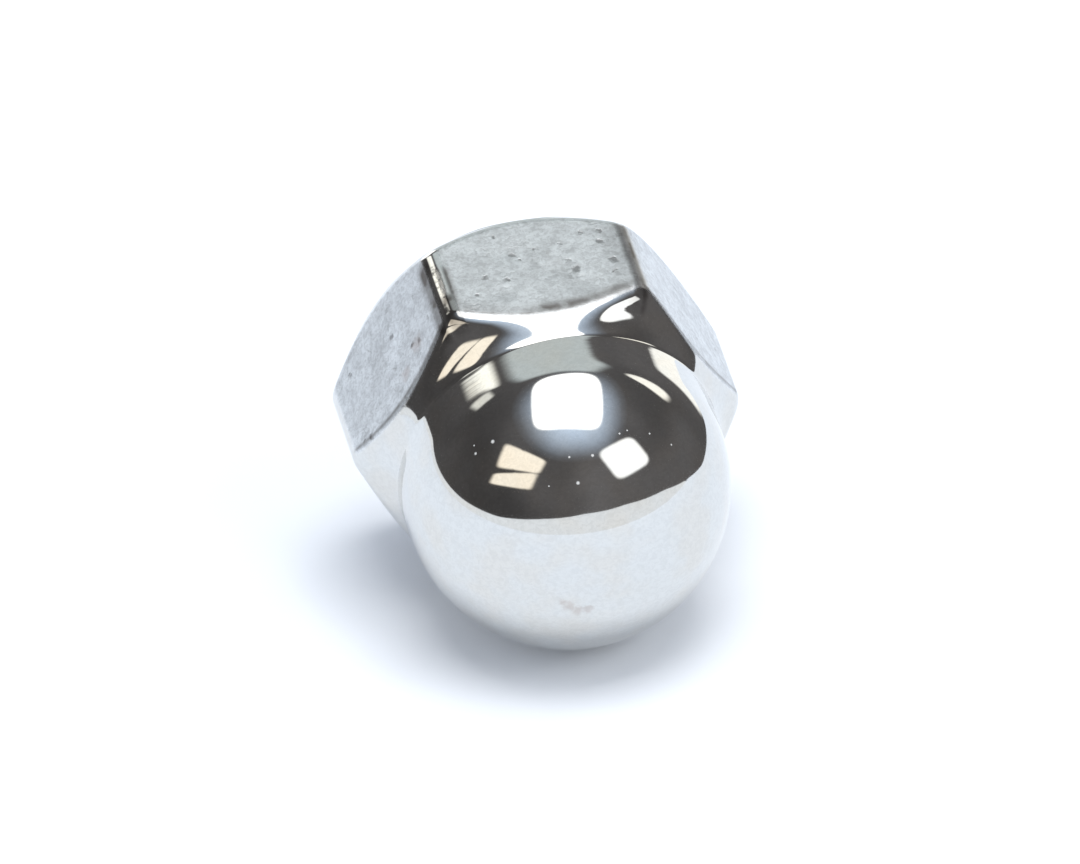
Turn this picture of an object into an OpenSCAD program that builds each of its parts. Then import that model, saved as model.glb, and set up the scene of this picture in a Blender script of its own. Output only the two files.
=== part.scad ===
// Cap nut: a chamfered hexagon with a closed crown over a blind threaded hole, in one piece.
// It is turned from hexagon bar, so the solid is the bar cut by a turned shape and then drilled.
// The nut's own axis runs from the bearing face at 0 to the top of the crown.
// It lies as it comes to rest: on the crown end of its lowest flat and on the crown itself.

/* [Hexagon] */
// Width across the flats
across_flats = 11.11; // [10.9:0.01:12.7]
// Rounding radius of the six long corners
corner_r = 0.75; // [0.3:0.05:1.2]
// Length of each flat along its middle, between its two chamfers
flat_l = 4.75; // [3.5:0.05:7]
// Diameter of the flat bearing face, inside its chamfer
bearing_d = 10.95; // [9.5:0.05:11.1]
// Angle of both chamfers to the nut's axis
chamfer_angle = 45; // [40:1:60]

/* [Crown] */
// Diameter of the crown, a short barrel that ends in half a ball
crown_d = 10.4; // [9.6:0.1:10.8]
// Height of the whole nut, from the bearing face to the top of the crown
nut_h = 11.9; // [11.4:0.1:16]

/* [Neck] */
// Radius of the round inner corner between the upper chamfer and the crown's barrel
neck_r = 0.9; // [0.5:0.1:1]

/* [Threaded hole] */
// Diameter of the bore, taken at the crests of the thread
bore_d = 5.1; // [4:0.1:6]
// Depth of the bore's straight wall below the bearing face
bore_depth = 8.3; // [6:0.1:8.6]
// Point angle of the drill that left the hole's end
drill_angle = 118; // [90:1:140]
// Diameter of the countersink at the hole's mouth
countersink_d = 6.7; // [6.2:0.1:8]
// Full angle of the countersink
countersink_angle = 90; // [80:1:120]

/* [Hidden] */
$fn = 96;

// How far a cutter reaches past the surface that it cuts
past = 1;

flat_r = across_flats / 2;
bearing_r = bearing_d / 2;
crown_r = crown_d / 2;
crown_z = nut_h - crown_r;

// Each rounding runs this far past the surfaces that it joins, so it ends on them in a clean edge
overrun = 0.005;
corner_centre_r = (flat_r - corner_r + overrun) / cos(30);
corner_arc_r = corner_centre_r + corner_r * cos(30);
corner_tip_r = corner_centre_r + corner_r;
hexagon_r = flat_r / cos(30);

// Axial length of a chamfer for each millimetre that it loses in radius
chamfer_slope = 1 / tan(chamfer_angle);

// Where the two chamfers meet the middle of a flat
flat_start_z = (flat_r - bearing_r) * chamfer_slope;
flat_end_z = flat_start_z + flat_l;

// The turned cones run out past the corners, so that they cut every corner
cone_r = corner_tip_r + past;
cone_start_z = (cone_r - bearing_r) * chamfer_slope;
cone_end_z = flat_end_z - (cone_r - flat_r) * chamfer_slope;

// Middle of the neck's arc, which rounds the inner corner from the chamfer to the crown's barrel
neck_reach = neck_r - overrun;
neck_centre_r = crown_r + neck_reach;
neck_centre_z = flat_end_z
    + (neck_reach - (neck_centre_r - flat_r) * cos(chamfer_angle)) / sin(chamfer_angle);
// Where the arc leaves the chamfer
neck_foot_r = neck_centre_r - neck_reach * cos(chamfer_angle);
neck_foot_z = neck_centre_z - neck_reach * sin(chamfer_angle);

bore_r = bore_d / 2;
countersink_r = countersink_d / 2;
countersink_depth = (countersink_r - bore_r) / tan(countersink_angle / 2);
drill_point_h = bore_r / tan(drill_angle / 2);

// Lean of the axis below level, at which one end of the lowest flat and the crown touch the
// ground: the crown end of the flat, or its other end under a crown wider than the flats
ground_z = crown_r < flat_r ? flat_end_z : flat_start_z;
end_to_crown = crown_z - ground_z;
lean = acos(crown_r / norm([flat_r, end_to_crown])) - atan(end_to_crown / flat_r);

// Height of the nut's own origin, and how far back it lies from the middle of the whole nut
lift = crown_z * sin(lean) + crown_r;
back_reach = bearing_r * abs(sin(lean));
front_reach = crown_z * cos(lean) + crown_r;
set_back = (front_reach - back_reach) / 2;

// What a round corner loses: all that lies past its arc, out to the sharp corner
module corner_waste() {
    difference() {
        translate([corner_arc_r, -corner_r]) square([corner_r + past, 2 * corner_r]);
        translate([corner_centre_r, 0]) circle(r = corner_r);
    }
}

// A flat's middle lies at 30 degrees and every 60 degrees on from there
module hexagon_bar() {
    corners = [for (i = [0:5]) 60 * i];
    linear_extrude(height = nut_h)
        difference() {
            polygon([for (angle = corners) hexagon_r * [cos(angle), sin(angle)]]);
            for (angle = corners) rotate(angle) corner_waste();
        }
}

// The turned head: a chamfer at the bearing face, one at the crown, and stock for the neck's arc
module turned_head() {
    rotate_extrude()
        polygon([
            [0, 0],
            [bearing_r, 0],
            [cone_r, cone_start_z],
            [cone_r, cone_end_z],
            [neck_foot_r, neck_foot_z],
            [crown_r, neck_centre_z],
            [0, neck_centre_z]
        ]);
}

module crown() {
    translate([0, 0, flat_end_z]) cylinder(r = crown_r, h = crown_z - flat_end_z);
    translate([0, 0, crown_z]) sphere(r = crown_r);
}

// The neck's round inner corner, cut with a ring of round section
module neck_round() {
    rotate_extrude() translate([neck_centre_r, neck_centre_z]) circle(r = neck_r);
}

// The hole that carries the thread: countersunk mouth, straight bore and drill point
module blind_hole() {
    mouth_r = countersink_r + past * tan(countersink_angle / 2);
    translate([0, 0, -past])
        cylinder(r1 = mouth_r, r2 = bore_r, h = countersink_depth + past);
    cylinder(r = bore_r, h = bore_depth);
    translate([0, 0, bore_depth]) cylinder(r1 = bore_r, r2 = 0, h = drill_point_h);
}

// Turns the nut on its side, crown to the front and leaning down, and sets it on the ground
module laid_down() {
    translate([0, set_back, lift]) rotate([90 + lean, 0, 0]) children();
}

module cap_nut() {
    color([0.80, 0.80, 0.81])
        laid_down()
            difference() {
                union() {
                    intersection() {
                        hexagon_bar();
                        turned_head();
                    }
                    crown();
                }
                neck_round();
                blind_hole();
            }
}

cap_nut();
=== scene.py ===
"""A bright plated cap nut that lies on a pale floor, dressed over its CAD frame.

The nut's own axis is its z, from the bearing face at 0 to the top of the crown at its height. Round
that axis, the right side lies at 0 degrees and the middle of the top flat at 90. All sizes are in
metres, except where a comment says millimetres.
"""

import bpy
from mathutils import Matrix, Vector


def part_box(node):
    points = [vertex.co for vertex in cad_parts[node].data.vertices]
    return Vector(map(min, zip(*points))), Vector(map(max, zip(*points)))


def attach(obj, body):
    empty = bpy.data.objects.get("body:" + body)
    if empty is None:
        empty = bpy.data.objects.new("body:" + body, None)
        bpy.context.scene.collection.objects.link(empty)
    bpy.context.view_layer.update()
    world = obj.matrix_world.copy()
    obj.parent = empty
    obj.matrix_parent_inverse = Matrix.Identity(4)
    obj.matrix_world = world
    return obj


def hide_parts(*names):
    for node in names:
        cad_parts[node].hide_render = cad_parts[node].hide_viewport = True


bl_info = {
    "name": "Cap nut",
    "version": (1, 0, 0),
    "blender": (4, 5, 0),
    "location": "View3D > Sidebar > Cap nut",
    "description": "Builds a plated cap nut with its thread, and the studio around it",
    "category": "Object",
}

import bpy
import numpy as np
from bpy.props import FloatProperty, FloatVectorProperty, PointerProperty
from mathutils import Matrix, Vector

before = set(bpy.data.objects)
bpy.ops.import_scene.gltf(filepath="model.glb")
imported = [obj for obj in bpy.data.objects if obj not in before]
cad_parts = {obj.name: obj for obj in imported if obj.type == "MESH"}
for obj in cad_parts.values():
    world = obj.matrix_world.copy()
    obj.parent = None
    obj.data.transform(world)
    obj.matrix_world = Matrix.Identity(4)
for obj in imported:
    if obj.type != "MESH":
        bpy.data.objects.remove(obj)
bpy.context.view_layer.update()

NODE = "cap_nut"
# The most that the skin's box may differ from its node's CAD box
BOX_MATCH = 3e-4

SIDES = 6
SECTOR = 2 * np.pi / SIDES
# The two long corners at the top of the lying nut, as angles round its axis
LEFT_CORNER, RIGHT_CORNER = np.radians(120), np.radians(60)

# Columns across each flat and round each long corner, and rows of three parts of the skin
FLAT_COLUMNS, CORNER_COLUMNS = 44, 16
CROWN_ROWS, BORE_ROWS, POINT_ROWS = 56, 158, 8

# The same for the studio's pieces
CARD_POINTS, CARD_RINGS = 72, 7
FLOOR_RINGS, HORIZON_STEPS = 30, 240
ROOM_ROWS, ROOM_COLUMNS = 23, 48

# How far the floor, the room and the lamps lie from the nut, and what the camera looks at
FLOOR_REACH = 0.3
ROOM_RADIUS = 3.0
SOFTBOX_HEIGHT = 0.6
CARD_DISTANCE = 0.8
LIGHT_DISTANCE = 1.5
LOOKS_AT = (-0.00056, 0.0, 0.00663)

# Pits, brown marks and specks of dust: x, y, z and radius on the nut, in millimetres
PITS = [
    (-1.00, 5.55, 0.70, 0.11), (-0.57, 5.56, 1.67, 0.15), (-0.42, 5.55, 1.95, 0.08),
    (1.19, 5.55, 2.80, 0.19), (1.05, 5.55, 2.35, 0.10), (0.12, 5.56, 1.61, 0.12),
    (-1.02, 5.55, 2.82, 0.14), (-1.72, 5.56, 2.54, 0.12), (-2.10, 5.56, 3.30, 0.10),
    (1.01, 5.56, 1.50, 0.09), (2.26, 5.56, 1.67, 0.15), (2.45, 5.55, 2.60, 0.16),
    (1.73, 5.56, 1.15, 0.10), (2.30, 5.55, 1.15, 0.12), (2.40, 5.55, 3.15, 0.10),
    (-4.01, 4.17, 3.45, 0.14), (-4.18, 3.87, 3.30, 0.16), (-4.60, 3.13, 1.96, 0.12),
    (-5.77, 1.11, 1.21, 0.10), (-5.75, 1.14, 4.20, 0.17), (-5.95, 0.85, 4.05, 0.09),
]
STAINS = [
    (-1.33, -0.27, 11.72, 0.20), (-1.10, -0.46, 11.76, 0.22), (-0.82, -0.61, 11.80, 0.24),
    (-0.55, -0.62, 11.84, 0.20), (-4.10, 4.00, 3.42, 0.36), (-4.55, 3.20, 3.85, 0.30),
]
DUST = [
    (-2.83, 3.99, 8.47, 0.068), (-3.37, 3.56, 8.43, 0.050), (-3.36, 3.68, 8.18, 0.030),
    (-0.68, 4.09, 9.84, 0.040), (-0.55, 3.53, 10.48, 0.062), (0.05, 4.08, 9.92, 0.052),
    (1.05, 4.33, 9.38, 0.034), (1.32, 4.32, 9.28, 0.030), (2.05, 4.03, 9.27, 0.034),
    (2.73, 3.52, 9.38, 0.034), (-1.45, 3.44, 10.32, 0.028),
]

# Dents in the flats: angle of the middle in degrees, height, half width and depth
DENTS = [
    (84.0, 0.0026, 0.00060, 0.000012),
    (97.0, 0.0016, 0.00075, 0.000014),
    (103.0, 0.0034, 0.00055, 0.000012),
    (76.0, 0.0035, 0.00070, 0.000013),
    (150.0, 0.0022, 0.00090, 0.000018),
    (161.0, 0.0033, 0.00060, 0.000012),
    (33.0, 0.0024, 0.00080, 0.000012),
    (217.0, 0.0027, 0.00080, 0.000013),
    (332.0, 0.0018, 0.00090, 0.000014),
]

# How dark the painted shade along the top flat's crown end is: angle in degrees and share
DARK_LINE = [
    (59, 0), (63, 0.72), (68, 0.74), (72, 0.56), (77, 0.80), (92, 0.92), (98, 0.32), (119, 0.35),
    (121, 0),
]

# The lower edge of the dark room as the crown mirrors it: azimuth and elevation in degrees
HORIZON = [
    (-180, 0.4), (-130, 1.0), (-90, 2.2), (-60, 4.2), (-30, 9.6), (0, 12.8), (30, 11.6), (60, 6.2),
    (76, 0.6), (86, -2.2), (96, -4.7), (122, -5.8), (145, -1), (160, 0.3), (180, 0.4),
]

# Colours of the lamps, and of the pale walls behind the nut
WARM, CREAM, WHITE, PALE = (1.0, 0.90, 0.76), (1, 0.98, 0.9), (1, 1, 1), (0.905, 0.98, 0.99)

# The softbox overhead and its halo: name, x, y and z of four corners from the crown in softbox
# heights, colour, strength, and the roundness and softness of the card
OVERHEAD = [
    ("softbox", [(-0.21, 0.53, 1), (0.51, 0.52, 1), (0.39, -0.39, 1), (-0.43, -0.20, 1)],
     WHITE, 2.6, 5.0, 0.06),
    ("softbox_halo",
     [(-0.36, 0.30, 1.02), (0.56, 0.40, 1.02), (0.50, -0.60, 1.02), (-0.34, -0.56, 1.02)],
     (0.84, 0.99, 1.21), 0.97, 2.6, 0.7),
]

# The windows, smaller lights and pale walls round the crown: the same values, but with azimuth and
# elevation of the corners in degrees
LAMPS = [
    ("warm_upper", [(-82, 47), (-33, 49.5), (-37, 40), (-75, 32)], WARM, 1.45, 8, 0.12),
    ("warm_lower", [(-74, 28), (-38, 40), (-41, 28), (-74, 21)], WARM, 1.4, 8, 0.14),
    ("white_window", [(23, 51), (65, 45), (62, 25), (30, 28)], WHITE, 1.6, 5, 0.10),
    ("crescent", [(127, 39), (130, 37), (120, 16), (112, 22)], (1, 0.96, 0.88), 1.5, 3, 0.2),
    ("band_upper", [(-149, 41), (-145, 42), (-138, 27), (-141, 25)], CREAM, 1.6, 5, 0.3),
    ("band_lower", [(-142, 38), (-137, 43), (-129, 34), (-135, 28)], CREAM, 1.0, 5, 0.3),
    ("back_wall", [(140, 54), (206, 55), (206, 41), (140, 40)], PALE, 0.75, 5, 0.18),
    ("side_card", [(136, 13), (160, 13), (160, -12), (126, -8)], (1, 0.985, 0.94), 1.4, 6, 0.12),
    ("back_panel", [(182, 30), (217, 30), (217, -4), (182, -4)], WHITE, 1.75, 4, 0.1),
    ("back_low", [(148, 36), (184, 39), (184, -4), (148, 0)], PALE, 0.75, 4, 0.15),
]


# Settings


def length(name, description, default):
    """A setting in metres."""
    return FloatProperty(name=name, description=description, default=default, unit="LENGTH",
                         precision=5, min=0)


def angle(name, description, degrees):
    """A setting that is given in degrees and kept in radians."""
    return FloatProperty(name=name, description=description, default=np.radians(degrees),
                         unit="ROTATION")


def colour(name, description, rgb):
    """A setting of three values from 0 to 1: red, green and blue."""
    return FloatVectorProperty(name=name, description=description, default=rgb, subtype="COLOR",
                               size=3, min=0, max=1)


def number(name, description, default):
    """A plain setting that isn't negative."""
    return FloatProperty(name=name, description=description, default=default, min=0)


class NutSizes(bpy.types.PropertyGroup):
    """The nut's sizes, as in the part's source, and those of its neck, blends and wear"""

    across_flats: length("Across flats", "Width across the flats", 0.01111)
    corner_radius: length("Corner radius", "Rounding of the six long corners", 0.00075)
    flat_end: length("Flat end", "Where the upper chamfer meets the middle of a flat", 0.00483)
    bearing_diameter: length("Bearing face", "Diameter of the flat bearing face", 0.01095)
    chamfer: angle("Chamfer", "Angle of both chamfers to the axis", 45)
    crown_diameter: length("Crown", "Diameter of the crown", 0.0104)
    height: length("Height", "From the bearing face to the top of the crown", 0.0119)
    neck_tight: length("Neck at crown", "Radius of the neck's arc next to the crown", 0.0005)
    neck_wide: length("Neck at chamfer", "Radius of the neck's arc next to the chamfer", 0.0025)
    neck_turn: angle("Neck turn", "How far the tight arc turns before the wide one starts", 25)
    edge_blend: length("Edge blend", "How far the flats' upper edges are worn round", 0.00031)
    foot_blend: length("Foot blend", "How far the flats' lower edges are worn round", 0.0002)
    wear_width: length("Wear width", "How far in from a long corner the flats are worn", 0.0009)
    wear_depth: length("Wear depth", "The most that wear takes off at a long corner", 0.000042)
    face_edge: length("Face edge", "Radius of the bearing face's own edge", 0.00008)


class HoleSizes(bpy.types.PropertyGroup):
    """The threaded hole's sizes"""

    bore: length("Bore", "Diameter at the crests of the thread", 0.0051)
    major: length("Major diameter", "Diameter at the roots of the thread", 0.00635)
    pitch: length("Pitch", "Distance from one turn to the next", 0.00127)
    depth: length("Depth", "Straight depth below the bearing face", 0.0083)
    runout: length("Run-out", "Length over which the last turns fade", 0.001)
    drill: angle("Drill point", "Full angle of the drill's point", 118)
    mouth: length("Countersink", "Diameter of the countersink at the face", 0.0067)


class PlateFinish(bpy.types.PropertyGroup):
    """The plating's colours and gloss"""

    metal: colour("Metal", "Colour of the bright plating", (0.692, 0.703, 0.694))
    stain: colour("Stain", "Colour of the faint brown marks", (0.40, 0.32, 0.29))
    # Colour of the painted shade and dark reflections beside the edges and the upper long corners
    painted_shade: colour("Grime", "Colour of the grime beside the edges", (0.14, 0.125, 0.115))
    dust: colour("Dust", "Colour of the few specks of dust on the crown", (0.62, 0.61, 0.58))
    pit: colour("Pit", "Colour in the bottom of a pit", (0.17, 0.17, 0.17))
    polished: number("Polished", "Roughness of crown, neck and chamfer", 0.045)
    satin: number("Satin", "Roughness of the flats", 0.33)


class StudioSettings(bpy.types.PropertyGroup):
    """The camera, the floor and the room that the plating mirrors"""

    azimuth: angle("Azimuth", "Camera's place to the right of the crown's side", -11.931)
    elevation: angle("Elevation", "Camera's height above level", 33.005)
    roll: angle("Roll", "Camera's turn about its own line of sight", -2.281)
    distance: length("Distance", "From the camera to the point that it looks at", 0.6627)
    lens: FloatProperty(name="Lens", description="Focal length", default=698.35, unit="CAMERA")
    room: colour("Room", "Colour of the dark room above the floor", (0.139, 0.132, 0.133))
    key: number("Key", "Power of the softbox's own light, in watts", 14.6)
    window: number("Window", "Power of the light from the white window, in watts", 4.5)
    fill: number("Fill", "Strength of the even light from all round", 0.60)
    floor_glow: number("Floor glow", "What the floor adds to its lit colour, to reach white", 0.03)


# Grids and meshes


def grid_faces(rows, columns, start=0):
    """Four-sided faces of a grid that is closed round its columns: each joins two rows."""
    row, column = np.meshgrid(np.arange(rows - 1), np.arange(columns), indexing="ij")
    here = start + row * columns + column
    beside = start + row * columns + (column + 1) % columns
    return np.stack([here, here + columns, beside + columns, beside], -1).reshape(-1, 4)


def fan_faces(pole, ring, outward):
    """Triangles from one pole to every edge of a ring, on the side that outward says."""
    following = np.roll(ring, -1)
    poles = np.full_like(ring, pole)
    return np.stack([poles, ring, following] if outward else [poles, following, ring], -1)


def build_mesh(name, vertices, triangles, quads, numbers=None, vectors=None):
    """One smooth mesh from whole arrays, with float and vector values at its vertices."""
    mesh = bpy.data.meshes.new(name)
    faces = [part for part in (triangles, quads) if part is not None and len(part)]
    counts = np.concatenate([np.full(len(part), part.shape[1]) for part in faces])
    corners = np.concatenate([part.ravel() for part in faces])
    mesh.vertices.add(len(vertices))
    mesh.vertices.foreach_set("co", vertices.astype(np.float32).ravel())
    mesh.loops.add(len(corners))
    mesh.loops.foreach_set("vertex_index", corners.astype(np.int32))
    mesh.polygons.add(len(counts))
    starts = np.concatenate([[0], np.cumsum(counts)[:-1]])
    mesh.polygons.foreach_set("loop_start", starts.astype(np.int32))
    mesh.update(calc_edges=True)
    mesh.shade_smooth()
    for key, values in (numbers or {}).items():
        mesh.attributes.new(key, "FLOAT", "POINT").data.foreach_set(
            "value", values.astype(np.float32))
    for key, values in (vectors or {}).items():
        mesh.attributes.new(key, "FLOAT_VECTOR", "POINT").data.foreach_set(
            "vector", values.astype(np.float32).ravel())
    if mesh.validate():
        raise RuntimeError(f"{name} had faces that Blender had to mend")
    return mesh


def add_object(name, mesh, material):
    """Puts a mesh into the scene under its name, at the origin."""
    piece = bpy.data.objects.new(name, mesh)
    bpy.context.scene.collection.objects.link(piece)
    mesh.materials.append(material)
    return piece


def mirrors_only(piece):
    """Leaves a piece of the studio for mirrors alone to see."""
    piece.visible_camera = piece.visible_diffuse = piece.visible_shadow = False


def smoothstep(low, high, value):
    """0 at low and beyond, 1 at high and beyond, and an even S between them."""
    t = np.clip((value - low) / (high - low), 0, 1)
    return t * t * (3 - 2 * t)


def blend_min(a, b, width):
    """The lesser of a and b, rounded by a parabola where they differ by less than width."""
    share = np.maximum(width - np.abs(a - b), 0) / width
    return np.minimum(a, b) - share**2 * width / 4


# The nut's shape


class Lie:
    """How the nut lies: its axis leans by an angle, and its origin lies set back and lifted."""

    def __init__(self, sizes):
        flat, crown = sizes.across_flats / 2, sizes.crown_diameter / 2
        reach = sizes.height - crown - sizes.flat_end
        self.lean = np.arccos(crown / np.hypot(flat, reach)) - np.arctan(reach / flat)
        sine, cosine = np.sin(self.lean), np.cos(self.lean)
        crown_z = sizes.height - crown
        front = crown_z * cosine + crown
        back = sizes.bearing_diameter / 2 * sine
        self.origin = np.array([0, (front - back) / 2, crown_z * sine + crown])
        self.axes = np.array([[1, 0, 0], [0, -sine, cosine], [0, -cosine, -sine]])

    def place(self, points):
        """Each point's x, y and z along the nut's own three axes, from the nut's origin."""
        return self.origin + points @ self.axes


def half_flat(sizes):
    """The angle from a flat's middle to the tangent point, where a long corner's arc starts."""
    flat, radius = sizes.across_flats / 2, sizes.corner_radius
    return np.arctan((flat - radius) * np.tan(SECTOR / 2) / flat)


def column_angles(sizes):
    """The angles of the columns: for each side, those across the flat and then those round the
    long corner that follows it."""
    half = half_flat(sizes)
    across = np.linspace(-half, half, FLAT_COLUMNS, endpoint=False)
    round_corner = np.linspace(half, SECTOR - half, CORNER_COLUMNS, endpoint=False)
    sector = np.concatenate([across, round_corner])
    middles = SECTOR / 2 + SECTOR * np.arange(SIDES)
    return (middles[:, None] + sector).ravel()


def hexagon_radius(sizes, angles):
    """The hexagon's outline: on a flat, its distance over the cosine of the angle from the flat's
    middle; past the tangent point, the far crossing of a ray with the corner's circle. Wear takes
    a parabola off each flat's two long edges, most of it beside the upper right corner. Returns
    the outline and how satin it is: 1 on a flat, and little round most of the corners."""
    flat, radius = sizes.across_flats / 2, sizes.corner_radius
    from_middle = (angles % SECTOR) - SECTOR / 2
    tangent = half_flat(sizes)
    centre = (flat - radius) / np.cos(SECTOR / 2)
    from_corner = SECTOR / 2 - np.abs(from_middle)
    under_root = np.maximum(radius**2 - (centre * np.sin(from_corner)) ** 2, 0)
    on_arc = centre * np.cos(from_corner) + np.sqrt(under_root)
    outline = np.where(np.abs(from_middle) < tangent, flat / np.cos(from_middle), on_arc)
    along = flat * np.tan(np.minimum(np.abs(from_middle), tangent))
    start = flat * np.tan(tangent) - sizes.wear_width
    worn = np.maximum(along - start, 0) / sizes.wear_width
    share = np.cos(angles - RIGHT_CORNER) ** 2
    outline = outline - sizes.wear_depth * share * worn**2
    roundness = smoothstep(tangent - 0.01, tangent + 0.035, np.abs(from_middle))
    return outline, 1 - roundness * (1 - 0.9 * share**2)


def neck_arcs(sizes):
    """Centres, radii and end heights of the neck's two arcs. The tight one touches the crown's
    barrel, the wide one goes on from it and ends where it has the chamfer's slope."""
    crown, flat = sizes.crown_diameter / 2, sizes.across_flats / 2
    tight, wide, turn = sizes.neck_tight, sizes.neck_wide, sizes.neck_turn
    wide_r = crown + tight + (wide - tight) * np.cos(turn)
    wide_z = sizes.flat_end + np.sqrt(wide**2 - (wide_r - flat) ** 2)
    tight_z = wide_z - (wide - tight) * np.sin(turn)
    slope = sizes.chamfer
    return {
        "tight": (crown + tight, tight_z, tight),
        "wide": (wide_r, wide_z, wide),
        "top": tight_z,
        "join": tight_z - tight * np.sin(turn),
        "foot": wide_z - wide * np.sin(slope),
        "foot_r": wide_r - wide * np.cos(slope),
    }


def turned_radius(sizes, z):
    """The upper turned profile by height: cone, wide arc, tight arc and barrel in turn."""
    neck = neck_arcs(sizes)
    cone = neck["foot_r"] + (neck["foot"] - z) * np.tan(sizes.chamfer)

    def on_arc(arc):
        r, height, radius = arc
        return r - np.sqrt(np.maximum(radius**2 - (height - z) ** 2, 0))

    barrel = np.full_like(z, sizes.crown_diameter / 2)
    picks = [z >= neck["top"], z >= neck["join"], z >= neck["foot"]]
    return np.select(picks, [barrel, on_arc(neck["tight"]), on_arc(neck["wide"])], cone)


def side_heights(sizes):
    """Heights of the rows from the barrel's top down to the bearing face's edge."""
    neck = neck_arcs(sizes)
    spans = [  # where each span starts, and how many rows it has
        (sizes.height - sizes.crown_diameter / 2, 7),
        (neck["top"], 8),
        (neck["join"], 13),
        (neck["foot"], 26),
        (0.0034, 22),
        (0.0011, 20),
    ]
    ends = [z for z, _ in spans[1:]] + [sizes.face_edge]
    heights = [np.linspace(a, b, n, endpoint=False) for (a, n), b in zip(spans, ends)]
    return np.concatenate(heights + [[sizes.face_edge]])


def side_surface(sizes, z, angles):
    """Radius by height and angle: the lesser of the hexagon and the two turned profiles, rounded
    where they meet. Returns it with two shares: how satin the finish is, and the painted shade
    below the flats' crown ends, in a thin line on each flat and a wider one on the top flat."""
    outline, flatness = hexagon_radius(sizes, angles)
    upper = turned_radius(sizes, z)[:, None] + 0 * outline
    lower = (sizes.bearing_diameter / 2 + z * np.tan(sizes.chamfer))[:, None] + 0 * outline
    # Wear rounds the flats' crown ends too, most of it at the upper right
    near_edge = np.clip(1 - (upper - outline) / sizes.wear_width, 0, 1)
    share = np.cos(angles - np.radians(70)) ** 2
    outline = outline - 0.6 * sizes.wear_depth * share * near_edge**2
    radius = blend_min(blend_min(outline, upper, sizes.edge_blend), lower, sizes.foot_blend)
    room = np.minimum(upper - outline, lower - outline)
    on_flat = smoothstep(0.0, 0.6 * sizes.edge_blend, room) * flatness
    below_edge = upper - outline
    # Painted shade: a thin dark line below each flat's crown end, and a wider one on the top flat
    thin = 0.7 * np.exp(-(below_edge / 0.00007 - 3.8) ** 2) * flatness
    turn, dark = np.array(DARK_LINE).T
    wide = np.interp(np.degrees(angles), turn, dark)
    wide = wide * np.exp(-((below_edge - 0.00041) / 0.00023) ** 2)
    return radius, on_flat, np.maximum(thin, wide)


def corner_marks(z, angles):
    """Shares of two marks that follow the two upper long corners. Along the middle of the left one
    the plating is worn bright, with a painted highlight, between a wide band and a thin crease of
    painted dark reflection, and its crown end is painted dark too. Painted dark reflection darkens
    the right one and the flat beside it. Each mark is a bell across the corner, whose middle and
    width are in degrees."""
    from_corner = np.degrees((angles + SECTOR / 2) % SECTOR - SECTOR / 2)
    left = np.cos(angles - LEFT_CORNER) ** 8
    right = np.cos(angles - RIGHT_CORNER) ** 8

    def bell(middle, width, power=2):
        return np.exp(-np.abs((from_corner - middle) / width) ** power)

    along = smoothstep(0.0008, 0.0014, z) * (1 - smoothstep(0.0041, 0.0047, z))
    begins, ends = smoothstep(0.0015, 0.0020, z), smoothstep(0.0028, 0.0032, z)
    # Worn plating with a painted highlight along the middle of the left corner
    worn_and_painted_highlight = np.outer(begins * (1 - ends), bell(-0.6, 1.1) * left)
    # Painted dark reflections beside both upper corners
    dark = [
        np.outer(along, bell(4.2, 1.6, 4) * left),
        np.outer(along * (1 - begins), 0.7 * bell(1.7, 0.9) * left),
        np.outer(along * begins, 0.9 * bell(-2.8, 0.7) * left),
        np.outer(along * ends, 0.95 * bell(-0.8, 2.4, 4) * left),
        np.outer(along**0.3, 0.95 * bell(-0.6, 1.0) * right),
        np.outer(along**0.3, (0.25 * bell(1.6, 1.6) + 0.14 * bell(4.0, 5.0)) * right),
    ]
    return worn_and_painted_highlight, np.max(dark, axis=0)


def dented(radius, on_flat, z, angles):
    """Presses shallow dents into the flats, each a bell of the distance from its middle."""
    flat_reach = 0.0056
    for middle, height, width, depth in DENTS:
        turn = (angles - np.radians(middle) + np.pi) % (2 * np.pi) - np.pi
        across = turn[None, :] * flat_reach
        away = (across**2 + (z[:, None] - height) ** 2) / width**2
        radius = radius - depth * on_flat * np.exp(-2 * away)
    return radius


def thread_radius(hole, z, angles):
    """A right-hand thread as a radius by height and angle: the phase is the height in pitches
    less the angle in turns, and the radius runs from root to crest along straight flanks. The
    first three values are shares of the pitch or of a flank. The countersink cuts the mouth."""
    half_root, flank, rounding = 0.075, 0.285, 0.04
    tap_stop, sink_blend = 0.0007, 0.00006
    phase = z[:, None] / hole.pitch - angles[None, :] / (2 * np.pi)
    from_root = np.abs((phase + 0.5) % 1 - 0.5)
    rise = np.clip((from_root - half_root) / flank, 0, 1)
    rise = rise - rounding * np.sin(2 * np.pi * rise)
    last_turn = hole.depth - tap_stop
    deep = 1 - smoothstep(last_turn - hole.runout, last_turn, z)[:, None]
    crest, root = hole.bore / 2, hole.major / 2
    cut = crest + (root - crest) * (1 - rise) * deep
    sink = hole.mouth / 2 - z[:, None]
    return -blend_min(-cut, -sink - 0 * cut, sink_blend)


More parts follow.
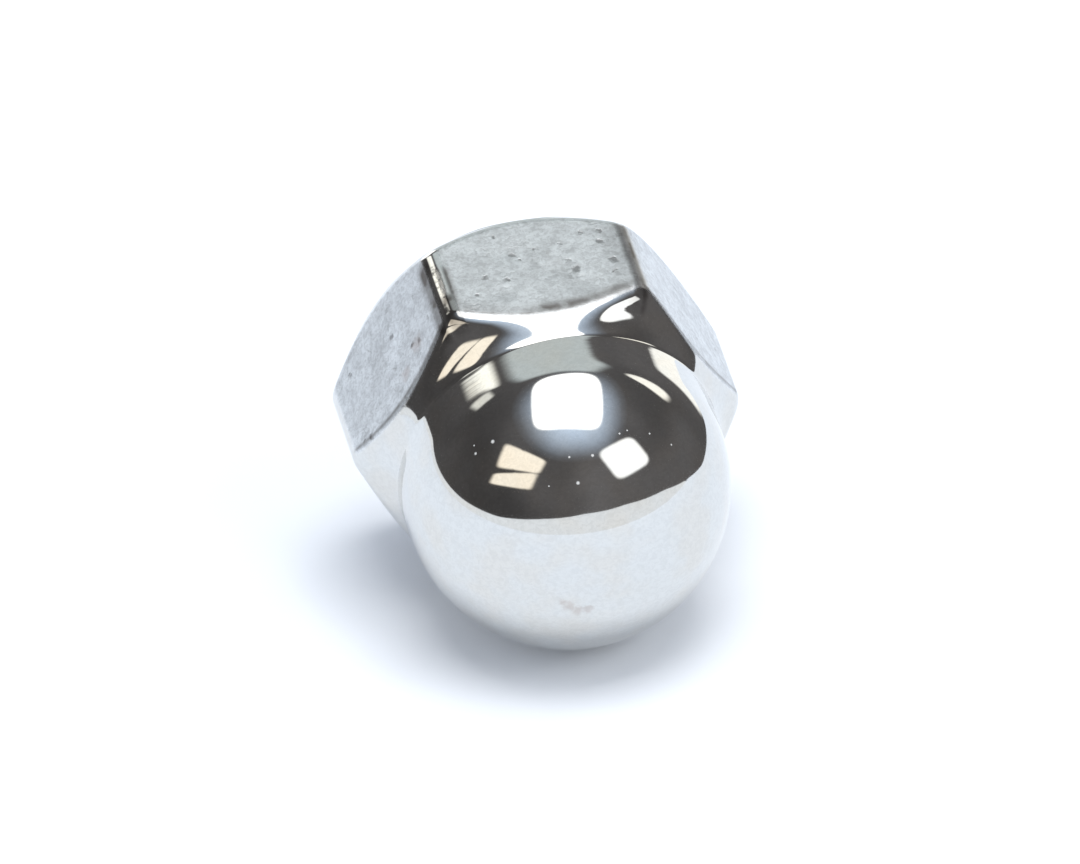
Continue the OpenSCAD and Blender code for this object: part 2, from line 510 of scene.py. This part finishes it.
def outer_rows(sizes, hole, angles):
    """Rows of the outside: the crown below its pole, the side, the bearing face's edge and the
    face itself. Returns radius, height and three shares, each by row and column."""
    crown, crown_z = sizes.crown_diameter / 2, sizes.height - sizes.crown_diameter / 2
    polar = np.linspace(0, np.pi / 2, CROWN_ROWS + 1)[1:-1]
    ball_r = (crown * np.sin(polar))[:, None] + 0 * angles
    ball_z = (crown_z + crown * np.cos(polar))[:, None] + 0 * angles

    z = side_heights(sizes)
    side_r, on_flat, painted_edge_shade = side_surface(sizes, z, angles)
    side_r = dented(side_r, on_flat, z, angles)
    worn_and_painted_highlight, painted_corner_reflection = corner_marks(z, angles)

    edge, face_step = sizes.face_edge, 0.00008
    turn = np.radians([22.5, 45, 67.5, 90])[:, None]
    edge_r = side_r[-1] - edge * (1 - np.cos(turn))
    edge_z = edge * (1 - np.sin(turn)) + 0 * angles
    face_r = np.stack([edge_r[-1] - face_step, 0.85 * edge_r[-1] + 0.15 * hole.mouth / 2])

    def by_row(on_side, on_face):
        return np.concatenate([0 * ball_r, on_side, 0 * edge_r, 0 * face_r + on_face])

    shares = {
        "satin": by_row(on_flat, 0.6),
        "painted_shade": by_row(np.maximum(painted_edge_shade, painted_corner_reflection), 0.0),
        "worn": by_row(worn_and_painted_highlight, 0.0),
    }
    r = np.concatenate([ball_r, side_r, edge_r, face_r])
    height = np.concatenate([ball_z, z[:, None] + 0 * angles, edge_z, 0 * face_r])
    return r, height, shares


def inner_rows(hole, angles):
    """Rows of the hole: two at its mouth, the countersunk and threaded bore, and the drill point
    above its pole. Returns radius and height by row and column."""
    mouth, rim = hole.mouth / 2, 0.00004
    ring = np.array([mouth + 0.0001, mouth + rim])[:, None]
    depths = np.linspace(rim, hole.depth, BORE_ROWS)
    bore_r = thread_radius(hole, depths, angles)
    point = np.linspace(1, 0, POINT_ROWS + 1)[1:-1, None] * hole.bore / 2
    point_z = hole.depth + (hole.bore / 2 - point) / np.tan(hole.drill / 2)
    r = np.concatenate([ring + 0 * angles, bore_r, point + 0 * angles])
    height = np.concatenate([0 * ring, depths[:, None], point_z]) + 0 * angles
    return r, height


def turned_points(r, z, angles):
    """Points from radius, height and angle."""
    return np.stack([r * np.cos(angles), r * np.sin(angles), z], -1).reshape(-1, 3)


def skin_faces(rows, columns, hole_rows):
    """Faces of the skin, whose vertices are the crown's pole, the outer rows, the hole's rows
    with half as many columns, and the hole's pole. Between outer rows and hole, a triangle and a
    quad take turns."""
    half = columns // 2
    hole_start = 1 + rows * columns
    last_outer = hole_start - columns + np.arange(columns)
    first_inner = hole_start + np.arange(half)
    last_inner = first_inner + (hole_rows - 1) * half
    even, odd = last_outer[::2], last_outer[1::2]
    triangles = np.concatenate([
        fan_faces(0, 1 + np.arange(columns), True),
        fan_faces(hole_start + hole_rows * half, last_inner, False),
        np.stack([even, first_inner, odd], -1),
    ])
    quads = np.concatenate([
        grid_faces(rows, columns, 1),
        grid_faces(hole_rows, half, hole_start),
        np.stack([odd, first_inner, np.roll(first_inner, -1), np.roll(even, -1)], -1),
    ])
    return triangles, quads


def nut_surface(sizes, hole):
    """The whole skin from the crown's pole to the hole's. Returns vertices, triangles, quads, and
    three shares by vertex: how satin the finish is, how much painted shade lies there and how far
    the plating is worn bright, with a painted highlight."""
    angles = column_angles(sizes)
    inner_angles = angles[::2]
    outer_r, outer_z, outer_shares = outer_rows(sizes, hole, angles)
    inner_r, inner_z = inner_rows(hole, inner_angles)
    top = [[0, 0, sizes.height]]
    bottom = [[0, 0, hole.depth + hole.bore / 2 / np.tan(hole.drill / 2)]]
    outer = turned_points(outer_r, outer_z, angles)
    inner = turned_points(inner_r, inner_z, inner_angles)
    vertices = np.concatenate([top, outer, inner, bottom])
    in_hole = {"satin": 0.3, "painted_shade": 0.0, "worn": 0.0}
    shares = {}
    for name, share in outer_shares.items():
        rest = np.full(inner_r.size + 1, in_hole[name])
        shares[name] = np.concatenate([[0], share.ravel(), rest])
    return vertices, *skin_faces(*outer_r.shape, len(inner_r)), shares


# The finish


class Nodes:
    """Short ways to add and join the nodes of one material or world."""

    def __init__(self, name, world=False):
        self.owner = (bpy.data.worlds if world else bpy.data.materials).new(name)
        self.owner.use_nodes = True
        self.tree = self.owner.node_tree
        self.tree.nodes.clear()

    def put(self, socket, value):
        """Joins an input to another node's output, or sets its own value."""
        if isinstance(value, bpy.types.NodeSocket):
            self.tree.links.new(value, socket)
        else:
            socket.default_value = value

    def add(self, kind, inputs=None, **settings):
        """A new node with its settings, and its inputs by name or number."""
        node = self.tree.nodes.new(kind)
        for key, value in settings.items():
            setattr(node, key, value)
        for key, value in (inputs or {}).items():
            self.put(node.inputs[key], value)
        return node

    def math(self, operation, a, b=0.0, c=0.0, clamp=False):
        """One sum of up to three numbers."""
        node = self.add("ShaderNodeMath", {0: a, 1: b, 2: c}, operation=operation)
        node.use_clamp = clamp
        return node.outputs[0]

    def vector(self, operation, a, b=(0, 0, 0), c=(0, 0, 0), output="Vector"):
        """One sum of up to three vectors."""
        node = self.add("ShaderNodeVectorMath", {0: a, 1: b, 2: c}, operation=operation)
        return node.outputs[output]

    def ramp(self, value, low, high, to_low=0.0, to_high=1.0):
        """An even S from to_low, where the value is low, to to_high, where it is high."""
        inputs = {"Value": value, "From Min": low, "From Max": high, "To Min": to_low,
                  "To Max": to_high}
        node = self.add("ShaderNodeMapRange", inputs, interpolation_type="SMOOTHSTEP")
        return node.outputs["Result"]

    def mix(self, share, a, b):
        """Colour a, with a share of colour b over it."""
        node = self.add("ShaderNodeMix", data_type="RGBA")
        for index, value in ((0, share), (6, a), (7, b)):
            self.put(node.inputs[index], value)
        return node.outputs[2]

    def noise(self, vector, scale, detail=2.0, roughness=0.5):
        """Soft noise from 0 to 1."""
        inputs = {"Vector": vector, "Scale": scale, "Detail": detail, "Roughness": roughness}
        return self.add("ShaderNodeTexNoise", inputs).outputs["Fac"]

    def attribute(self, name, output="Fac"):
        """A value that the mesh keeps at its vertices."""
        return self.add("ShaderNodeAttribute", attribute_name=name).outputs[output]


def rgba(values):
    """A colour with full alpha."""
    return (*values, 1.0)


def tinted(values, tint):
    """A colour times a tint, with full alpha."""
    return rgba(tuple(c * k for c, k in zip(values, tint)))


def spots(n, vector, places):
    """Soft round spots about named points: x, y, z and radius, in millimetres on the nut."""
    total = 0.0
    for *point, radius in places:
        away = n.vector("DISTANCE", vector, point, output="Value")
        near = n.ramp(away, 0.3 * radius, 1.2 * radius, 1.0, 0.0)
        total = n.math("MAXIMUM", near, total)
    return total


def plate_marks(n, place, satin):
    """Shares of the plating's marks. Grain, pits and stains take a place that noise has shifted,
    so that none of them is quite round. The place is in millimetres on the nut."""
    wander = n.add("ShaderNodeTexNoise", {"Vector": place, "Scale": 4.5, "Detail": 3.0})
    shift = n.vector("SUBTRACT", wander.outputs["Color"], (0.5, 0.5, 0.5))
    shifted = n.vector("MULTIPLY_ADD", shift, (0.45, 0.45, 0.45), place)
    streaked = n.vector("MULTIPLY", shifted, (0.6, 1.0, 1.0))

    grain = n.noise(streaked, 8.0, 4.0, 0.65)
    flecks = n.ramp(n.noise(streaked, 2.6, 3.0, 0.6), 0.56, 0.72)
    crowded = n.ramp(n.noise(place, 0.7, 1.0), 0.40, 0.62, 0.10, 0.50)
    flecks = n.math("MULTIPLY", flecks, crowded)
    named = n.math("MULTIPLY", spots(n, shifted, PITS), n.ramp(grain, 0.30, 0.52, 0.55, 1.0))
    bare = n.ramp(n.noise(place, 1.9, 3.0), 0.34, 0.46)
    patchy = n.ramp(n.noise(place, 1.6, 2.0), 0.38, 0.55, 0.65, 1.0)
    return {
        "grain": grain,
        "pit": n.math("MULTIPLY", n.math("MAXIMUM", flecks, named), satin),
        # Real wear with a near-white painted highlight along the left upper corner
        "worn": n.math("MULTIPLY", n.attribute("worn"), bare),
        # Painted shade and dark reflections beside the edges and corners, in patches
        "painted_shade": n.math("MULTIPLY", n.attribute("painted_shade"), patchy),
        "stain": spots(n, shifted, STAINS),
        "dust": spots(n, place, DUST),
    }


def plate_colour(n, finish, place, satin, marks):
    """The plating's colour: warmer in patches, paler and cooler where satin, and then the colour of
    one mark after another laid over it, a painted highlight and painted shade among them."""
    warmth = n.ramp(n.noise(place, 0.8, 2.0, 0.5), 0.38, 0.70)
    depth = n.ramp(satin, 0.0, 1.0, 0.10, 0.30)
    shade = n.math("MULTIPLY", n.ramp(marks["grain"], 0.62, 0.36), depth)
    mottle = n.ramp(n.noise(place, 1.7, 2.0), 0.60, 0.36, 0.0, 0.16)
    pit = rgba(finish.pit)
    layers = [
        (warmth, tinted(finish.metal, (1.0, 0.972, 0.94))),
        (satin, tinted(finish.metal, (1.13, 1.16, 1.205))),
        (shade, pit),
        (n.math("MULTIPLY", mottle, satin), pit),
        (n.math("MULTIPLY", marks["pit"], 0.74), pit),
        # A near-white painted highlight where worn
        (marks["worn"], (1.0, 0.99, 0.96, 1)),
        # Painted shade and dark reflections
        (marks["painted_shade"], rgba(finish.painted_shade)),
        (n.math("MULTIPLY", marks["stain"], 0.38), rgba(finish.stain)),
        (marks["dust"], rgba(finish.dust)),
    ]
    metal = rgba(finish.metal)
    for share, layer in layers:
        metal = n.mix(share, metal, layer)
    return metal


def plate_relief(n, place, satin, marks):
    """The plating's fine relief in millimetres: grain and pits where satin, faint turned rings
    below the crown where polished, and nicks where worn."""
    relief = n.math("MULTIPLY", marks["grain"], 0.0042)
    relief = n.math("SUBTRACT", relief, n.math("MULTIPLY", marks["pit"], 0.007))
    relief = n.math("MULTIPLY", relief, satin)
    height = n.add("ShaderNodeSeparateXYZ", {0: place}).outputs["Z"]
    radius = n.vector("LENGTH", n.vector("MULTIPLY", place, (1.0, 1.0, 0.0)), output="Value")
    turned = n.add("ShaderNodeCombineXYZ", {0: radius, 1: height}).outputs[0]
    rings = n.math("MULTIPLY", n.noise(turned, 4.0, 2.0), n.ramp(height, 6.9, 6.4, 0.0, 0.0008))
    relief = n.math("ADD", relief, n.math("MULTIPLY", rings, n.ramp(satin, 0.5, 0.0)))
    nicks = n.math("MULTIPLY", marks["worn"], n.noise(place, 4.0, 2.0))
    return n.math("SUBTRACT", relief, n.math("MULTIPLY", nicks, 0.012))


def plate_material(finish):
    """Bright plating: mirror-like where turned and polished, satin and pitted on the flats."""
    n = Nodes("bright_plate_finish")
    place, satin = n.attribute("nut_place", "Vector"), n.attribute("satin")
    marks = plate_marks(n, place, satin)
    metal = plate_colour(n, finish, place, satin, marks)
    relief = plate_relief(n, place, satin, marks)
    bump = n.add("ShaderNodeBump", {"Height": relief, "Strength": 1.0, "Distance": 0.001})

    rough = n.ramp(satin, 0.0, 1.0, finish.polished, finish.satin)
    rough = n.math("MAXIMUM", rough, n.math("MULTIPLY", marks["dust"], 0.6))
    rough = n.math("MAXIMUM", rough, n.math("MULTIPLY", marks["worn"], 0.25))
    shader = n.add("ShaderNodeBsdfPrincipled", {
        "Base Color": metal,
        "Metallic": n.math("SUBTRACT", 1.0, marks["dust"]),
        "Roughness": rough,
        "Normal": bump.outputs[0],
    })
    n.add("ShaderNodeOutputMaterial", {"Surface": shader.outputs[0]})
    return n.owner


# The studio's materials


def seen_directly(n):
    """1 for a ray from the camera, from a mirror or through glass, and 0 for all others."""
    path = n.add("ShaderNodeLightPath").outputs
    seen = n.math("ADD", path["Is Camera Ray"], path["Is Glossy Ray"])
    return n.math("ADD", seen, path["Is Transmission Ray"], clamp=True)


def studio_world(settings):
    """White to the camera and to mirrors, and an even, weaker light to all else."""
    n = Nodes("studio_world", world=True)
    seen = seen_directly(n)
    strength = n.ramp(seen, 0.0, 1.0, settings.fill, 1.0)
    tint = n.mix(seen, (0.90, 0.98, 1.12, 1), (1, 1, 1, 1))
    light = n.add("ShaderNodeBackground", {"Color": tint, "Strength": strength})
    n.add("ShaderNodeOutputWorld", {"Surface": light.outputs[0]})
    return n.owner


def floor_material(settings):
    """White paper: its lit colour, plus a glow that only the camera and mirrors see."""
    n = Nodes("floor_paper")
    strength = n.math("MULTIPLY", seen_directly(n), settings.floor_glow)
    glow = n.add("ShaderNodeEmission", {"Color": (1.1, 1.0, 0.93, 1), "Strength": strength})
    paper = n.add("ShaderNodeBsdfDiffuse", {"Color": (0.865, 0.89, 0.92, 1)})
    both = n.add("ShaderNodeAddShader", {0: glow.outputs[0], 1: paper.outputs[0]})
    n.add("ShaderNodeOutputMaterial", {"Surface": both.outputs[0]})
    return n.owner


def plain_light(n, rgb, strength):
    """Ends a material's nodes in emission alone."""
    light = n.add("ShaderNodeEmission", {"Color": rgba(rgb), "Strength": strength})
    n.add("ShaderNodeOutputMaterial", {"Surface": light.outputs[0]})
    n.owner.cycles.emission_sampling = "NONE"
    return n.owner


def room_material(settings):
    """The dark room, a little uneven and darker on the left, as emission alone."""
    n = Nodes("room_dark")
    where = n.add("ShaderNodeTexCoord").outputs["Object"]
    patch = n.ramp(n.noise(where, 0.5, 1.0, 0.5), 0.3, 0.7, 0.8, 1.2)
    across = n.add("ShaderNodeSeparateXYZ", {0: where}).outputs["X"]
    left = n.ramp(across, -2.6, -0.2, 0.60, 1.05)
    right = n.ramp(across, 0.4, 2.8, 1.0, 0.8)
    strength = n.math("MULTIPLY", patch, n.math("MULTIPLY", left, right))
    return plain_light(n, settings.room, strength)


def lamp_material(name, rgb, strength):
    """Plain emission that fades with the card's own value glow."""
    n = Nodes(name)
    glow = n.attribute("glow")
    light = n.add("ShaderNodeEmission", {"Color": rgba(rgb), "Strength": strength})
    clear = n.add("ShaderNodeBsdfTransparent")
    mixed = n.add("ShaderNodeMixShader", {0: glow, 1: clear.outputs[0], 2: light.outputs[0]})
    n.add("ShaderNodeOutputMaterial", {"Surface": mixed.outputs[0]})
    n.owner.cycles.emission_sampling = "NONE"
    return n.owner


# The studio's shapes


def direction(azimuth, elevation):
    """Unit vector at degrees to the right of the crown's side (-Y) and above level."""
    az, el = np.radians(azimuth), np.radians(elevation)
    return np.stack([np.cos(el) * np.sin(az), -np.cos(el) * np.cos(az), np.sin(el)], -1)


def horizon():
    """The lower edge of the dark room at even steps of azimuth, its corners smoothed: for each
    azimuth, the elevation up to which the crown sees white. Below level, that is the floor's own
    edge."""
    azimuth, elevation = np.array(HORIZON).T
    az = np.linspace(-180, 180, HORIZON_STEPS, endpoint=False)
    el = np.interp(az, azimuth, elevation)
    kernel = np.hanning(9) / np.hanning(9).sum()
    return az, np.convolve(np.concatenate([el[-4:], el, el[:4]]), kernel, "valid")


def floor_mesh(crown):
    """A flat sheet: a disc whose edge lies nearer on the right, where the horizon dips. There its
    reach is the crown's height over the tangent of the dip."""
    az, el = horizon()
    least_dip = 0.6
    dip = np.radians(np.maximum(-el, least_dip))
    reach = np.where(el < -least_dip, crown[2] / np.tan(dip), FLOOR_REACH)
    r = np.outer(np.geomspace(0.01, 1, FLOOR_RINGS), np.minimum(reach, FLOOR_REACH))
    points = np.stack([r * np.sin(np.radians(az)), -r * np.cos(np.radians(az)), 0 * r], -1)
    vertices = np.concatenate([[[0, 0, 0]], points.reshape(-1, 3)])
    quads = grid_faces(FLOOR_RINGS, len(az), 1)
    return build_mesh("floor", vertices, fan_faces(0, 1 + np.arange(len(az)), True), quads)


def screen_mesh(crown):
    """A low white screen that stands round the floor, as high as the horizon at each azimuth."""
    az, el = horizon()
    top = crown[2] + FLOOR_REACH * np.tan(np.radians(np.maximum(el, 0)))
    z = np.outer([0, 1], np.where(el > 0, top, 0))
    x, y = FLOOR_REACH * np.sin(np.radians(az)), -FLOOR_REACH * np.cos(np.radians(az))
    points = np.stack([x + 0 * z, y + 0 * z, z], -1)
    return build_mesh("screen", points.reshape(-1, 3), None, grid_faces(2, len(az)))


def room_mesh():
    """A ball of quads about the origin, its faces turned inwards."""
    polar = np.linspace(0, np.pi, ROOM_ROWS + 2)[1:-1, None]
    turn = np.linspace(0, 2 * np.pi, ROOM_COLUMNS, endpoint=False)
    r, z = np.sin(polar) + 0 * turn, np.cos(polar) + 0 * turn
    points = ROOM_RADIUS * np.stack([r * np.cos(turn), r * np.sin(turn), z], -1)
    top, bottom = [[0, 0, ROOM_RADIUS]], [[0, 0, -ROOM_RADIUS]]
    vertices = np.concatenate([top, points.reshape(-1, 3), bottom])
    first = 1 + np.arange(ROOM_COLUMNS)
    last = first + (ROOM_ROWS - 1) * ROOM_COLUMNS
    triangles = np.concatenate([
        fan_faces(0, first, False),
        fan_faces(len(vertices) - 1, last, True),
    ])
    quads = grid_faces(ROOM_ROWS, ROOM_COLUMNS, 1)[:, ::-1]
    return build_mesh("room", vertices, triangles, quads)


def card_mesh(name, corners, roundness, soft):
    """A soft-edged card: rings of a superellipse, laid between four corner points by bilinear
    interpolation. The value glow falls from 1 on the first ring to 0 on the last."""
    t = np.linspace(0, 2 * np.pi, CARD_POINTS, endpoint=False)
    u = np.sign(np.cos(t)) * np.abs(np.cos(t)) ** (2 / roundness)
    v = np.sign(np.sin(t)) * np.abs(np.sin(t)) ** (2 / roundness)
    scales = np.linspace(1 - soft, 1 + soft, CARD_RINGS)
    u, v = (np.outer(scales, u) + 1) / 2, (np.outer(scales, v) + 1) / 2
    c = np.asarray(corners, float)
    points = (((1 - u) * v)[..., None] * c[0] + (u * v)[..., None] * c[1]
              + (u * (1 - v))[..., None] * c[2] + ((1 - u) * (1 - v))[..., None] * c[3])
    vertices = np.concatenate([[c.mean(0)], points.reshape(-1, 3)])
    glow = 1 - smoothstep(1 - soft, 1 + soft, scales)
    glow = np.concatenate([[1], np.repeat(glow, CARD_POINTS)])
    quads = grid_faces(CARD_RINGS, CARD_POINTS, 1)
    triangles = fan_faces(0, 1 + np.arange(CARD_POINTS), True)
    return build_mesh(name, vertices, triangles, quads, numbers={"glow": glow})


def add_card(name, corners, rgb, strength, roundness, soft):
    """One lamp or wall that only mirrors see."""
    material = lamp_material(name + "_light", rgb, strength)
    card = add_object(name, card_mesh(name, corners, roundness, soft), material)
    mirrors_only(card)


def add_lamps(crown):
    """The softbox overhead, the windows and smaller lights, each where the crown mirrors it."""
    for name, corners, *look in OVERHEAD:
        add_card(name, crown + SOFTBOX_HEIGHT * np.array(corners), *look)
    for name, corners, *look in LAMPS:
        azimuth, elevation = np.array(corners, float).T
        add_card(name, crown + CARD_DISTANCE * direction(azimuth, elevation), *look)


def add_light(name, crown, towards, size, power):
    """An area light that faces the crown and that mirrors don't see."""
    light = bpy.data.lights.new(name, "AREA")
    light.shape, light.size, light.size_y = "RECTANGLE", *size
    light.energy = power
    lamp = bpy.data.objects.new(name, light)
    bpy.context.scene.collection.objects.link(lamp)
    away = Vector(towards).normalized()
    lamp.location = Vector(crown) + LIGHT_DISTANCE * away
    lamp.rotation_euler = away.to_track_quat("Z", "Y").to_euler()
    lamp.visible_glossy = False


def add_camera(scene, settings):
    """The camera, turned to the point that it looks at and then about its line of sight."""
    back = Vector(direction(np.degrees(settings.azimuth), np.degrees(settings.elevation)))
    level = Vector((0, 0, 1)).cross(back).normalized()
    rotation = Matrix((level, back.cross(level), back)).transposed()
    rotation = rotation @ Matrix.Rotation(settings.roll, 3, "Z")
    camera = bpy.data.objects.new("camera", bpy.data.cameras.new("camera"))
    scene.collection.objects.link(camera)
    camera.data.sensor_fit, camera.data.sensor_width = "HORIZONTAL", 36
    camera.data.lens = settings.lens
    camera.data.clip_start, camera.data.clip_end = 0.01, 20
    place = Vector(LOOKS_AT) + settings.distance * back
    camera.matrix_world = Matrix.Translation(place) @ rotation.to_4x4()
    scene.camera = camera


# The add-on


class NUT_OT_body(bpy.types.Operator):
    """Build the nut: crown, neck, worn hexagon, bearing face and threaded hole, as one skin"""

    bl_idname = "nut.body"
    bl_label = "Nut body"

    def execute(self, context):
        sizes, hole = context.scene.nut_sizes, context.scene.nut_hole
        vertices, triangles, quads, shares = nut_surface(sizes, hole)
        placed = Lie(sizes).place(vertices)
        misfit = np.abs([placed.min(0), placed.max(0)] - np.array(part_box(NODE)))
        if misfit.max() > BOX_MATCH:
            raise RuntimeError("the nut's skin doesn't fill its CAD box")
        mesh = build_mesh("nut_body", placed, triangles, quads, numbers=shares,
                          vectors={"nut_place": vertices * 1000})
        body = add_object("nut_body", mesh, plate_material(context.scene.nut_finish))
        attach(body, "root")
        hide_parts(NODE)
        return {"FINISHED"}


class NUT_OT_studio(bpy.types.Operator):
    """Build the floor, the room, its lamps and the camera"""

    bl_idname = "nut.studio"
    bl_label = "Studio"

    def execute(self, context):
        scene, settings, sizes = context.scene, context.scene.nut_studio, context.scene.nut_sizes
        crown = Lie(sizes).place(np.array([0, 0, sizes.height - sizes.crown_diameter / 2]))
        scene.view_settings.view_transform = "Standard"
        scene.world = studio_world(settings)

        floor = add_object("floor", floor_mesh(crown), floor_material(settings))
        room = add_object("room", room_mesh(), room_material(settings))
        mirrors_only(room)
        add_lamps(crown)
        white = plain_light(Nodes("screen_white"), (0.97, 1, 1.04), 1.06)
        screen = add_object("screen", screen_mesh(crown), white)
        mirrors_only(screen)
        add_light("key", crown, (0.04, -0.14, 1.0), (1.0, 0.8), settings.key)
        add_light("window", crown, direction(45, 40), (0.9, 0.6), settings.window)
        add_camera(scene, settings)
        return {"FINISHED"}


class NUT_PT_panel(bpy.types.Panel):
    """Lists the nut's operators and settings"""

    bl_idname = "NUT_PT_panel"
    bl_label = "Cap nut"
    bl_space_type = "VIEW_3D"
    bl_region_type = "UI"
    bl_category = "Cap nut"

    def draw(self, context):
        for operator in OPERATORS:
            self.layout.operator(operator.bl_idname)
        for group in GROUPS:
            settings = getattr(context.scene, group)
            column = self.layout.column(align=True)
            for key in settings.__annotations__:
                column.prop(settings, key)


OPERATORS = (NUT_OT_body, NUT_OT_studio)
GROUPS = {
    "nut_sizes": NutSizes,
    "nut_hole": HoleSizes,
    "nut_finish": PlateFinish,
    "nut_studio": StudioSettings,
}


def register():
    """Adds the settings, operators and panel."""
    for cls in (*GROUPS.values(), *OPERATORS, NUT_PT_panel):
        bpy.utils.register_class(cls)
    for key, cls in GROUPS.items():
        setattr(bpy.types.Scene, key, PointerProperty(type=cls))


def unregister():
    """Takes them away again."""
    for key in GROUPS:
        delattr(bpy.types.Scene, key)
    for cls in (NUT_PT_panel, *reversed(OPERATORS), *reversed(GROUPS.values())):
        bpy.utils.unregister_class(cls)


def main():
    """Builds the nut and its studio."""
    register()
    bpy.ops.nut.body()
    bpy.ops.nut.studio()


if __name__ == "__main__":
    main()
